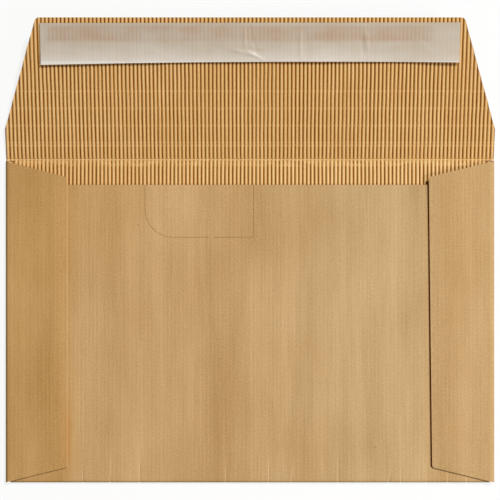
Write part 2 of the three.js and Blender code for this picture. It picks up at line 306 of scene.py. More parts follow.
# %% The side flaps of the liner
side_flap_corner = 1.2 * MM
side_flap_column = 1.5 * MM
top_taper = 8.5 * MM
bottom_taper = 8.1 * MM
outermost = panel_half_width + side_arc / 2
fold_over = panel_half_width + side_arc
# The next three hold a value for the left side, -1, and one for the right side, 1
side_flap_width = {-1: 31.6 * MM, 1: 33.8 * MM}
free_edge = {side: fold_over + width - side_radius for side, width in side_flap_width.items()}
narrowing = {-1: 0, 1: 1.9 * MM}


def flap_ends(across, side, corner):
    """Give a side flap's top and bottom end at a distance out from the blank's middle line."""
    slope = max(0.0, (across - outermost) / (free_edge[side] - outermost))
    low = mix(-panel_flat, bottom_relief - body_height, ramp(across, panel_half_width, outermost))
    drop = corner_drop(free_edge[side] - across, corner)
    return -corner_relief - top_taper * slope - drop, low + bottom_taper * slope + drop


for side in (-1, 1):
    stations = spaced(panel_half_width, fold_over, side_arc / fold_rows)
    stations += spaced(fold_over, free_edge[side] - side_flap_corner, side_flap_column)
    stations += [free_edge[side] - side_flap_corner * share for share in (0.6, 0.25, 0.0)]
    edge_x = side * panel_half_width
    pick(
        "EDGE",
        lambda middle: abs(middle.x - edge_x) < TINY and -panel_flat < middle.y < -corner_relief,
    )
    top, bottom = -corner_relief, -panel_flat
    for last, station in zip([panel_half_width] + stations, stations):
        next_top, next_bottom = flap_ends(station, side, side_flap_corner)
        extrude(side * (station - last), next_top - top)
        stretch = (next_top - next_bottom) / (top - bottom)
        bpy.ops.transform.resize(value=(1, stretch, 1), center_override=(0, next_top, 0))
        top, bottom = next_top, next_bottom
edit_mode(False)
print("liner faces:", len(liner.data.polygons))


def narrow_foot(piece):
    """Draw in the foot of the right side flap, where its free edge runs out of true."""
    for vertex in piece.data.vertices:
        side = 1 if vertex.co.x > 0 else -1
        out = abs(vertex.co.x) - fold_over
        if out > 0 and vertex.co.y < -corner_relief:
            reach = out / (free_edge[side] - fold_over)
            vertex.co.x -= side * narrowing[side] * reach * min(1, -vertex.co.y / body_height)


# %% [markdown]
# Real paper is never quite flat. The back panel has soft vertical waves, and where the thick board
# was folded at the bottom it wrinkled into short, sharp crimps that run up from the fold. The side
# flaps were pressed down along their edges to make the glue bite. All of this is low enough to stay
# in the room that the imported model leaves, so it is moved into the flat sheet before the sheet is
# folded. The crimps are narrower than the grid, so each one first gets three cuts of its own.

# %% Cuts for the crimps
# Each crimp: its place across and its length up the panel, in mm, and 1 if pressed in, -1 if out
crimps = [
    (-85.6, 11, 1),
    (-71.7, 16, -1),
    (-56.4, 19, 1),
    (-12.3, 15, 1),
    (9.7, 20, 1),
    (21.5, 12, -1),
    (45.1, 17, 1),
    (71.2, 18, -1),
    (77.4, 12, 1),
    (90.2, 16, 1),
    (101.4, 10, 1),
    (111.2, 7, 1),
]
crimp_width = 0.45 * MM
crimp_depth = 0.2 * MM
crimp_room = 2 * MM
crimp_fade = (0.2, 0.95)  # shares of its length between which a crimp fades out


def cut_crimps(piece):
    """Cut a flat sheet along the middle and both sides of every crimp."""
    bpy.context.view_layer.objects.active = piece
    edit_mode(True)
    for place, length, _ in crimps:
        middle_x, top = place * MM, fold_end - length * MM
        for side in (-1, 0, 1):
            pick(
                "FACE",
                lambda middle: top < middle.y < -panel_flat
                and abs(middle.x - middle_x) < crimp_room,
            )
            point = (middle_x + side * crimp_width, 0, 0)
            bpy.ops.mesh.bisect(plane_co=point, plane_no=(1, 0, 0))
    edit_mode(False)


cut_crimps(liner)
print("liner faces with crimp cuts:", len(liner.data.polygons))

# %% Crimps, pressed edges and waves
press_depth = 0.3 * MM
press_reach = 6.5 * MM
press_start, press_full = 12 * MM, 26 * MM  # down from the score
foot_hardness = 1.3  # how much faster the press fades from the foot than from the free edge
wave_height = 0.1 * MM
wave_width, wave_length = 11 * MM, 95 * MM


def press_crimps(piece):
    """Press the crimps into the back panel and the bottom fold, and mark them."""
    mark = piece.data.attributes.new("crimp", "FLOAT", "POINT")
    for index, vertex in enumerate(piece.data.vertices):
        across, along, _ = vertex.co
        if along > -panel_flat + TINY or abs(across) > panel_half_width:
            continue
        up_panel = max(0.0, fold_end - along)
        for place, length, way in crimps:
            near = 1 - abs(across - place * MM) / crimp_width
            if near > 0:
                fade = 1 - ramp(up_panel, *(share * length * MM for share in crimp_fade))
                inward = way if up_panel > crimp_room else 1
                vertex.co.z += inward * crimp_depth * near * fade
                mark.data[index].value = near * fade


def edge_press(across, along):
    """Say how far a side flap is pressed down at a place, fading in from its edges."""
    side = 1 if across > 0 else -1
    if abs(across) < fold_over:
        return 0.0
    bottom = flap_ends(abs(across), side, 0)[1]
    from_edge = min(free_edge[side] - abs(across), (along - bottom) * foot_hardness)
    below_mouth = ramp(-along, press_start, press_full)
    return press_depth * (1 - ramp(from_edge, 0, press_reach)) * below_mouth


def add_waves(piece):
    """Lift and lower the back panel in soft vertical waves."""
    for vertex in piece.data.vertices:
        across, along, _ = vertex.co
        if along < fold_end and abs(across) < fold_over:
            vertex.co.z += wave_height * drift(across, along, wave_width, wave_length, 0.3)


for vertex in liner.data.vertices:
    vertex.co.z += edge_press(vertex.co.x, vertex.co.y)
narrow_foot(liner)
press_crimps(liner)
add_waves(liner)
fold(liner)

# %% [markdown]
# The sheet gets its thickness towards the inside, so its outer face keeps its size. Solidify can
# put the faces of the rim in a material slot of their own. Here that only marks them: the mark is
# copied to an attribute, because a cut edge shows paler fibres than the smooth face.


# %% Give the liner its thickness
def thicken(piece, thickness):
    """Give a sheet its thickness and mark the faces of its cut edges."""
    piece.data.materials.append(None)
    piece.data.materials.append(None)
    modify(piece, "SOLIDIFY", thickness=thickness, offset=1, use_rim=True, material_offset_rim=1)
    edge = piece.data.attributes.new("cut_edge", "FLOAT", "FACE")
    for face in piece.data.polygons:
        edge.data[face.index].value = face.material_index
        face.material_index = 0


thicken(liner, liner_thickness)
print("liner faces with thickness:", len(liner.data.polygons))

# %% [markdown]
# The back panel carries a knife-scored tab, open at the mouth: straight down, round one corner,
# along and straight up again, with a short nick left uncut. The score is a shallow groove, so a
# cutter is made from a quarter of a circle with its two ends drawn out, given a round section, and
# taken out of the sheet with a boolean.

# %% The tab's score
tab_left = -53.7 * MM
tab_width, tab_height = 55.5 * MM, 26.8 * MM
tab_right = tab_left + tab_width
tab_foot = score_y - mouth_setback - tab_height
tab_corner = 14.4 * MM
nick_place, nick_width = 32.6 * MM, 2.7 * MM
nick_left = tab_left + nick_place
nick_right = nick_left + nick_width
groove_radius = 0.14 * MM
past_mouth = 1 * MM
mouth_y = score_y - mouth_setback + past_mouth


def edited_line_as_rod(radius):
    """Leave edit mode and turn the line of edges into a rod of a given radius."""
    edit_mode(False)
    piece = bpy.context.object
    bpy.ops.object.convert(target="CURVE")
    piece.data.bevel_depth = radius
    piece.data.bevel_resolution = 2
    piece.data.use_fill_caps = True
    bpy.ops.object.convert(target="MESH")
    return piece


def round_cutter():
    """Make the cutter for the round-cornered stretch of the score."""
    deselect_all()
    centre = (tab_left + tab_corner, tab_foot + tab_corner, back_panel_top)
    bpy.ops.mesh.primitive_circle_add(vertices=48, radius=tab_corner, location=centre)
    bpy.ops.object.transform_apply(location=True, rotation=False, scale=False)
    edit_mode(True)
    pick("EDGE", lambda middle: middle.x > centre[0] or middle.y > centre[1])
    bpy.ops.mesh.delete(type="EDGE")
    pick("VERT", lambda spot: abs(spot.y - centre[1]) < TINY)
    extrude(0, mouth_y - centre[1])
    pick("VERT", lambda spot: abs(spot.y - tab_foot) < TINY)
    extrude(nick_left - centre[0], 0)
    return edited_line_as_rod(groove_radius)


def square_cutter():
    """Make the cutter for the square-cornered stretch."""
    deselect_all()
    size = ((tab_right - nick_right) / 2, (mouth_y - tab_foot) / 2)
    centre = (nick_right + size[0], tab_foot + size[1], back_panel_top)
    bpy.ops.mesh.primitive_plane_add(size=2, location=centre)
    bpy.ops.transform.resize(value=(*size, 1))
    bpy.ops.object.transform_apply(location=True, rotation=False, scale=True)
    edit_mode(True)
    pick("VERT", lambda spot: spot.x < centre[0] and spot.y > centre[1])
    bpy.ops.mesh.delete(type="VERT")
    return edited_line_as_rod(groove_radius)


for cutter in (round_cutter(), square_cutter()):
    modify(liner, "BOOLEAN", operation="DIFFERENCE", object=cutter, solver="EXACT")
    bpy.data.objects.remove(cutter)
print("liner faces after the score:", len(liner.data.polygons))

# The faces that slope into the score's groove are marked, so that shade can be painted into it.
painted_groove_shade = liner.data.attributes.new("painted_groove_shade", "FLOAT", "FACE")
steep = 0.97  # a face whose normal rises less than this slopes into the groove
groove_floor = back_panel_top - liner_thickness * 0.9
for face in liner.data.polygons:
    across, up_sheet, height = face.center
    on_tab = tab_left - MM < across < tab_right + MM and up_sheet > tab_foot - MM
    if on_tab and groove_floor < height < back_panel_top + MM:
        painted_groove_shade.data[face.index].value = float(abs(face.normal.z) < steep)
print("faces in the knife line:", sum(spot.value > 0 for spot in painted_groove_shade.data))

smooth(liner, 35)
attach(liner, "root")
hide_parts("kraft_liner")

# %% [markdown]
# ## The fluted lining
#
# The medium is one sheet of paper pressed into a wave between hot rollers, so every flute is alike.
# One flute is modelled flat, six squares across, and extruded down the whole blank. An array makes
# it 125 wide with its points merged, and the wave is then pressed in: a formula gives the height of
# each point, low in a valley and high on a crest. Flutes lie flat where the board was creased, so
# the height also comes down at the score, at fainter creases on the flap, in a bruised band just
# under the score, and round the folds. The sheet gets rows of points at each of those places, and
# few elsewhere.

# %% The wave
crest_rise = flute_height - medium_thickness
flute_columns = 6
crest_width = 0.75  # under 1, the crests are wider than the valleys
crush_length = 3 * MM  # the folds' crushed paper
score_line = 0.43 * MM
score_core, score_reach = 0.1 * MM, 0.52 * MM
crush_limit = 0.75  # no crease flattens the flutes more than this
flattened = 0.5  # a crease brings crests and valleys to this share of the wave's height
# The flap's creases: their place along and how far they reach, in mm, and how much they flatten
flap_creases = [
    (1.3, 0.4, 0.5),
    (7.9, 0.8, 0.45),
    (9.4, 0.6, 0.35),
    (18.1, 0.8, 0.32),
    (26.8, 1.1, 0.27),
    (35.5, 0.8, 0.3),
]
# Just below the score the flutes are bruised in patches: where that fades, and how much it flattens
bruise_fade, bruise_end = 2.5 * MM, 3.3 * MM
bruise_depth = 0.2
bruise_patchiness = 1.6


def crush(along):
    """Say how flat the flutes are at a place along, and at which share of their height."""
    before = ramp(-along, panel_flat - crush_length, panel_flat)
    after = 1 - ramp(-along, -fold_end, crush_length - fold_end)
    at_fold = min(before, after)
    if at_fold > 0:
        return at_fold, 0.0
    flat = 1 - ramp(abs(along - score_line), score_core, score_reach)
    for place, reach, depth in flap_creases:
        flat = max(flat, depth * (1 - ramp(abs(along - place * MM), 0, reach * MM)))
    return flat * crush_limit, flattened


def wave(across):
    """Give the height of the wave at a place across: 0 in a valley and 1 on a crest."""
    phase = (across + half_width) / pitch
    return (0.5 - 0.5 * math.cos(2 * math.pi * phase)) ** crest_width


flute_start = -0.6 * MM  # the side flaps' lining starts here
flute_fold_rows = 8
flute_rows = [flap_height]
for place, reach, _ in reversed(flap_creases):
    upper, middle, lower = (place + reach) * MM, place * MM, (place - reach) * MM
    flute_rows += spaced(flute_rows[-1], upper, row_step) + [middle, lower]
flute_rows += spaced(flute_rows[-1], score_line + score_reach, row_step)
flute_rows += [score_line + score_core, score_line - score_core, 0, score_line - score_reach]
flute_rows += [flute_start, -1.2 * MM, -1.9 * MM, -bruise_fade, -bruise_end]
flute_rows += [-6 * MM, -9 * MM, -mouth_setback, -mouth_setback - 5 * MM]
flute_rows += [crush_length - panel_flat]
flute_rows += [-panel_flat] + spaced(-panel_flat, fold_end, bottom_arc / flute_fold_rows)
flute_rows += [fold_end - crush_length, mouth_edge + 6 * MM, mouth_edge + 3 * MM, mouth_edge]

flute = flat_grid(
    "flute_sheet", flute_columns, 1, -half_width, pitch - half_width, flute_rows[1], flute_rows[0]
)
edit_mode(True)
pick("EDGE", lambda middle: abs(middle.y - flute_rows[1]) < TINY)
for above, below in zip(flute_rows[1:], flute_rows[2:]):
    extrude(0, below - above)
edit_mode(False)
modify(
    flute,
    "ARRAY",
    count=flute_count,
    use_constant_offset=True,
    use_relative_offset=False,
    constant_offset_displace=(pitch, 0, 0),
    use_merge_vertices=True,
    merge_threshold=1e-5,
)
print("flute rows:", len(flute_rows), "faces:", len(flute.data.polygons))

# %% [markdown]
# The sheet of flutes is now trimmed with straight cuts, as the die did: the flap's slanted sides,
# then a few tangent cuts round each tip. The panels are trimmed to their own widths. After that the
# crushed paper and the flutes of the side flaps are drawn out of the front panel's edges.

# %% Trim the flutes
taper_angle = math.atan2(flap_taper, flap_height - flap_shoulder)
tip_inset = flap_corner * math.tan((math.pi / 2 - taper_angle) / 2)
tip_centre = Vector((half_width - flap_taper - tip_inset, flap_height - flap_corner, 0))
tip_cuts = 4
flutes_to_fold = math.floor((panel_half_width - medium_thickness + half_width) / pitch)
last_valley = flutes_to_fold * pitch - half_width


def cut_off(side, place, direction):
    """Cut what is selected along a plane, given for the right side, and drop what lies beyond."""
    point, outward = ((side * pair[0], pair[1], 0) for pair in (place, direction))
    bpy.ops.mesh.bisect(plane_co=point, plane_no=outward, clear_outer=True)


edit_mode(True)
for side in (-1, 1):
    for i in range(tip_cuts):
        angle = mix(taper_angle, math.pi / 2, i / tip_cuts)
        direction = Vector((math.cos(angle), math.sin(angle), 0))
        pick("FACE", lambda middle: middle.y > 0)
        cut_off(side, tip_centre + flap_corner * direction, direction)
    pick("FACE", lambda middle: -panel_flat < middle.y < -corner_relief / 2)
    cut_off(side, (last_valley, 0), (1, 0))
    pick("FACE", lambda middle: middle.y < -panel_flat)
    cut_off(side, (back_half_width, 0), (1, 0))
edit_mode(False)
print("faces after trimming:", len(flute.data.polygons))

# %% Draw out the side flaps' lining
flutes_past_fold = math.ceil((fold_over + medium_thickness + half_width) / pitch)
next_valley = flutes_past_fold * pitch - half_width
flute_inset = 0.3 * MM
column = pitch / flute_columns

edit_mode(True)
for side in (-1, 1):
    edge_x = side * last_valley
    pick(
        "EDGE",
        lambda middle: abs(middle.x - edge_x) < TINY and -panel_flat < middle.y < flute_start,
    )
    stations = [panel_half_width] + spaced(panel_half_width, fold_over, side_arc / fold_rows)
    stations += [next_valley] + spaced(next_valley, free_edge[side], column)
    for last, station in zip([last_valley] + stations, stations):
        extrude(side * (station - last), 0)
    for end in (0, 1):
        inner = flap_ends(outermost, side, 0)[end]
        outer = flap_ends(free_edge[side], side, 0)[end]
        slope = Vector((free_edge[side] - outermost, outer - inner, 0)).normalized()
        outward = Vector((-slope.y, slope.x, 0)) * (1 if end == 0 else -1)
        pick("FACE", lambda middle: side * middle.x > outermost)
        cut_off(side, Vector((outermost, inner, 0)) - flute_inset * outward, outward)
    pick("FACE", lambda middle: side * middle.x > outermost)
    cut_off(side, (free_edge[side] - flute_inset, 0), (1, 0))
edit_mode(False)
print("faces with side flaps:", len(flute.data.polygons))

# %% [markdown]
# Now the wave is pressed in. The valley depth is kept on the points as an attribute, so that
# painted shade can make the paper darker down in the valleys, by depth alone. A little noise lets
# each flute wander and vary, as the real ones do.

# %% Press the wave
flute_wander = 0.13 * MM
wander_fade = 4 * MM  # in from the blank's edges
flute_unevenness = 0.1
mean_lowering = 0.6  # in units of the unevenness, so that no crest stands too high
crest_yield = 0.46  # share of the side flaps' press that the crests don't follow


def bruise(across, along):
    """Say how much the flutes are bruised at a place just below the score."""
    patchy = drift(across, along, 5 * MM, 1.5 * MM, 3.3)
    fade = 1 - ramp(-along, bruise_fade, bruise_end)
    return min(1, bruise_depth * (1 + bruise_patchiness * patchy) * fade)


def press_wave(piece):
    """Raise the flat medium into flutes and note how deep each point lies."""
    valley = piece.data.attributes.new("valley", "FLOAT", "POINT")
    for index, vertex in enumerate(piece.data.vertices):
        across, along, _ = vertex.co
        beside = last_valley + TINY < abs(across) < next_valley - TINY
        beside = beside and -panel_flat - TINY < along < -corner_relief
        flat, level = (1, 0) if beside else crush(along)
        if -bruise_end < along < 0 and flat < bruise_depth:
            flat, level = max(flat, bruise(across, along)), flattened
        uneven = drift(across, along, 2.3 * MM, 14 * MM, 7.1)
        rise = wave(across) * (1 + flute_unevenness * (uneven - mean_lowering))
        pressed = edge_press(across, along) * (1 - crest_yield * rise)
        vertex.co.z = liner_thickness + crest_rise * mix(rise, level, flat) + pressed
        valley.data[index].value = (1 - rise) * (1 - flat)
        wander = drift(across, along, 9 * MM, 11 * MM, 2.4)
        inner = ramp(half_width - abs(across), 0, wander_fade)
        vertex.co.x += flute_wander * wander * inner * ramp(along, -mouth_setback - MM, MM)


press_wave(flute)
narrow_foot(flute)
press_crimps(flute)
fold(flute)
thicken(flute, medium_thickness)
smooth(flute, 60)
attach(flute, "root")
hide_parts("fluted_lining")
print("lining faces with thickness:", len(flute.data.polygons))

# %% [markdown]
# ## The adhesive and its release paper
#
# The adhesive is a soft band, pressed down a little into the valleys under it. The release paper
# lies over it and is wider, so its lower edge stands free: it lifts in a slow curve, and it has
# picked up a few wrinkles from handling. Both are fine grids: the adhesive has about six squares to
# a flute, and the release paper's squares are two thirds of a millimetre.

# %% Places of the closure on the flap
strip_end_margin = 2.2 * MM
strip_setback = 2.6 * MM
strip_height = 20.1 * MM
strip_thickness = 0.12 * MM
strip_skew = math.radians(0.1)
adhesive_margin = 3 * MM
finger_lift = 13.8 * MM  # the strip's right end is left free here, to pick it up
adhesive_setback = 4.2 * MM
adhesive_height = 7.6 * MM
adhesive_thickness = 0.25 * MM
layer_clearance = 0.05 * MM
adhesive_base = board + layer_clearance
strip_base = adhesive_base + adhesive_thickness + layer_clearance

strip_half_length = half_width - flap_taper - strip_end_margin
strip_top = flap_height - strip_setback
strip_foot = strip_top - strip_height
adhesive_left = -strip_half_length + adhesive_margin
adhesive_right = strip_half_length - finger_lift
adhesive_top = flap_height - adhesive_setback
adhesive_foot = adhesive_top - adhesive_height


def flap_grid(name, columns, rows, left, right, bottom, top):
    """Add a flat grid over a band of the flap, skewed as the release paper is."""
    piece = flat_grid(name, columns, rows, left, right, bottom, top)
    for vertex in piece.data.vertices:
        vertex.co.y += vertex.co.x * math.sin(strip_skew)
    return piece


# %% The adhesive band
adhesive = flap_grid(
    "adhesive_band", 600, 6, adhesive_left, adhesive_right, adhesive_foot, adhesive_top
)
sink = 0.12 * MM
for vertex in adhesive.data.vertices:
    vertex.co.z = adhesive_base - sink * (1 - wave(vertex.co.x))
fold(adhesive)
modify(adhesive, "SOLIDIFY", thickness=adhesive_thickness, offset=1, use_rim=True)
smooth(adhesive, 50)
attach(adhesive, "root")
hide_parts("flap_adhesive")

# %% The release paper
# Wrinkles: their two ends across and down from the strip's top edge, how wide and how high they are
wrinkles = [
    ((-3.2, 0.5), (-2.6, 12.0), 0.6, 0.4),
    ((-0.4, 0.5), (3.4, 15.5), 0.6, -0.3),
    ((1.6, 1.5), (2.4, 11.0), 0.6, 0.22),
    ((-2.5, 14.2), (7.0, 19.4), 0.6, 0.42),
    ((-10.0, 13.4), (2.0, 17.0), 0.7, 0.28),
    ((0.0, 12.5), (8.5, 13.5), 0.6, 0.2),
    ((25.0, 0.0), (25.4, 18.5), 0.7, 0.3),
    ((27.6, 1.0), (28.6, 20.0), 1.0, -0.24),
    ((58.0, 3.5), (59.0, 14.0), 0.8, 0.34),
    ((55.6, 6.0), (57.0, 17.0), 0.9, -0.18),
    ((-52.0, 13.0), (-38.0, 18.5), 1.4, 0.08),
    ((84.0, 9.0), (93.0, 17.0), 1.5, 0.1),
]


def wrinkle_height(across, down):
    """Add up the wrinkles at a place on the release paper, in millimetres."""
    spot = Vector((across, down))
    height = 0.0
    for start, end, width, rise in wrinkles:
        start, end = Vector(start), Vector(end)
        run = end - start
        share = min(1.0, max(0.0, (spot - start).dot(run) / run.length_squared))
        away = (spot - start - share * run).length
        fade = 1 - abs(2 * share - 1) ** 3 * 0.7
        height += rise * math.exp(-((away / width) ** 2)) * fade
    return height


paper = flap_grid(
    "release_paper", 318, 30, -strip_half_length, strip_half_length, strip_foot, strip_top
)
strip_lift = 0.75 * MM  # of the free lower edge, on average
lift_wander = 0.45 * MM
end_lift = 0.45 * MM  # added towards either end
lift_curl = 2.4  # the higher, the closer to the edge the paper starts to lift
bow = 0.8 * MM  # the free edge sags this far, a little to the right of the middle
bow_middle = 0.25
ripple_height = 0.12
for vertex in paper.data.vertices:
    across, along = vertex.co.x / MM, vertex.co.y
    down = (strip_top + vertex.co.x * math.sin(strip_skew) - along) / MM
    share = min(1.0, max(0.0, down * MM / strip_height))
    from_middle = vertex.co.x / strip_half_length
    lift = strip_lift + lift_wander * drift(across, 0.2, 30, 1, 1.7)
    lift += end_lift * (ramp(-from_middle, 0.3, 1.0) + ramp(from_middle, 0.7, 1.0))
    free = ramp(down, 1.0, 11.0)
    ripple = ripple_height * drift(across, down, 7, 14, 5.5) * free
    creases = wrinkle_height(across, down) * (0.35 + 0.65 * free)
    bumps = max(-ripple_height, creases + ripple) * MM
    vertex.co.z = strip_base + lift * share**lift_curl + bumps
    vertex.co.y += bow * share * (1 - (from_middle - bow_middle) ** 2 / 0.9)
fold(paper)
modify(paper, "SOLIDIFY", thickness=strip_thickness, offset=1, use_rim=True)
smooth(paper, 60)
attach(paper, "root")
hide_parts("release_strip")
print("release paper faces:", len(paper.data.polygons))

# %% [markdown]
# ## Papers and finishes
#
# A material is a small formula on the surface. To write it as one, sockets are wrapped in a class
# that knows plus, minus and times, so an expression in Python adds the Math nodes by itself.
# Everything else comes from one method that takes a node's kind, its settings and its sockets.


# %% Shader maths in plain expressions
class Value:
    """An output socket that can be used in sums like a number."""

    def __init__(self, web, socket):
        self.web = web
        self.socket = socket

    def maths(self, operation, first, second=0.0):
        sockets = {0: first, 1: second}
        return self.web.node("ShaderNodeMath", {"operation": operation}, sockets)

    def __add__(self, other):
        return self.maths("ADD", self, other)

    def __sub__(self, other):
        return self.maths("SUBTRACT", self, other)

    def __rsub__(self, other):
        return self.maths("SUBTRACT", other, self)

    def __mul__(self, other):
        return self.maths("MULTIPLY", self, other)

    __radd__ = __add__
    __rmul__ = __mul__

    def sine(self):
        return self.maths("SINE", self)

    def size(self):
        return self.maths("ABSOLUTE", self)

    def at_least(self, other):
        return self.maths("MAXIMUM", self, other)

    def share(self):
        """Keep the value from 0 to 1."""
        return self.maths("MINIMUM", self, 1.0).at_least(0.0)

    def rise(self, start, end):
        """Go evenly from 0 at start to 1 at end."""
        return ((self - start) * (1 / (end - start))).share()

    def step(self, place, reach):
        """Go evenly from 0 to 1 past a place, starting and ending this far from it."""
        return self.rise(place - reach, place + reach)

    def near(self, place, core, reach):
        """Be 1 within a core of a place and 0 beyond a reach."""
        return 1 - (self - place).size().rise(core, reach)


class Web:
    """The nodes of a material or of the sky."""

    def __init__(self, tree):
        self.tree = tree

    def node(self, kind, settings=None, sockets=None, output=0):
        """Add a node, with its settings first and then its sockets."""
        made = self.tree.nodes.new(kind)
        for name, value in (settings or {}).items():
            setattr(made, name, value)
        for name, value in (sockets or {}).items():
            self.fill(made.inputs[name], value)
        return Value(self, made.outputs[output])

    def fill(self, socket, value):
        if isinstance(value, Value):
            self.tree.links.new(value.socket, socket)
        else:
            socket.default_value = value

    def seen_directly(self):
        """Be 1 for the camera, and for what a mirror or a clear thing shows of it."""
        seen = [
            self.node("ShaderNodeLightPath", output=f"Is {way} Ray")
            for way in ("Camera", "Glossy", "Transmission")
        ]
        return seen[0].at_least(seen[1]).at_least(seen[2])


def linear(red, green, blue):
    """Turn a colour as a screen shows it, 0 to 255, into the shader's light values."""
    levels = [value / 255 for value in (red, green, blue)]
    shown = [v / 12.92 if v <= 0.04045 else ((v + 0.055) / 1.055) ** 2.4 for v in levels]
    return (*shown, 1.0)


class Finish(Web):
    """A material under construction."""

    def __init__(self, name, roughness, shine=0.0):
        self.material = bpy.data.materials.new(name)
        self.material.use_nodes = True
        super().__init__(self.material.node_tree)
        self.surface = self.tree.nodes["Principled BSDF"]
        self.surface.inputs["Roughness"].default_value = roughness
        self.surface.inputs["Specular IOR Level"].default_value = shine
        self.place = self.node("ShaderNodeTexCoord", output="Object")

    def put(self, name, value):
        """Set or link a socket of the surface shader."""
        self.fill(self.surface.inputs[name], value)

    def axis(self, name):
        """Give one of the object's coordinates in metres."""
        return self.node("ShaderNodeSeparateXYZ", None, {0: self.place}, output=name)

    def mark(self, name):
        """Read an attribute of the mesh."""
        return self.node("ShaderNodeAttribute", {"attribute_name": name}, output="Fac")

    def stretched(self, x, y, z):
        """Give the object's coordinates with one unit at these lengths in millimetres."""
        scale = (1 / (x * MM), 1 / (y * MM), 1 / (z * MM))
        settings = {"operation": "MULTIPLY"}
        return self.node("ShaderNodeVectorMath", settings, {0: self.place, 1: scale})

    def noise(self, x, y, z, detail=2.0, roughness=0.5):
        """Give noise from -0.5 to 0.5, with grains of these lengths in millimetres."""
        sockets = {"Vector": self.stretched(x, y, z), "Scale": 1.0}
        sockets |= {"Detail": detail, "Roughness": roughness}
        return self.node("ShaderNodeTexNoise", None, sockets) - 0.5

    def blend(self, share, first, second):
        """Mix two colours."""
        sockets = {0: share, 6: first, 7: second}
        return self.node("ShaderNodeMix", {"data_type": "RGBA"}, sockets, output=2)

    def bump(self, height, distance=0.05 * MM):
        """Raise the surface by a height, given in units of a distance in metres."""
        sockets = {"Height": height, "Distance": distance, "Strength": 1.0}
        self.put("Normal", self.node("ShaderNodeBump", None, sockets))


def wear(piece, material):
    """Give a piece its one finish."""
    piece.data.materials.clear()
    piece.data.materials.append(material)


# %% [markdown]
# ### Kraft liner
#
# Kraft is brown because its fibres are unbleached. Close up it is a felt of short fibres, most of
# them along the web, with a few dark specks of bark. From further off it shows soft bands, and the
# flutes that are glued behind it print through as fine ribs. The ribs and fibres are also a low
# bump. Towards the right its colour turns paler and less saturated, a painted sheen. Along the left
# side flap's edge, lower down, the paper is tinted orange-brown, and a pale painted highlight runs
# along that edge. Beside the right side flap's edge a dark line is painted shadow, in the gap under
# the flap. The crimps get a painted highlight and the score's groove painted shade.


# %% The kraft finish
left_edge_x = -(2 * panel_half_width + side_arc - free_edge[-1])
right_edge_x = 2 * panel_half_width + side_arc - free_edge[1]
side_flap_head = score_y - top_taper
side_flap_foot = score_y - body_height + bottom_taper
tint_low, tint_high = score_y - 158 * MM, score_y - 112 * MM


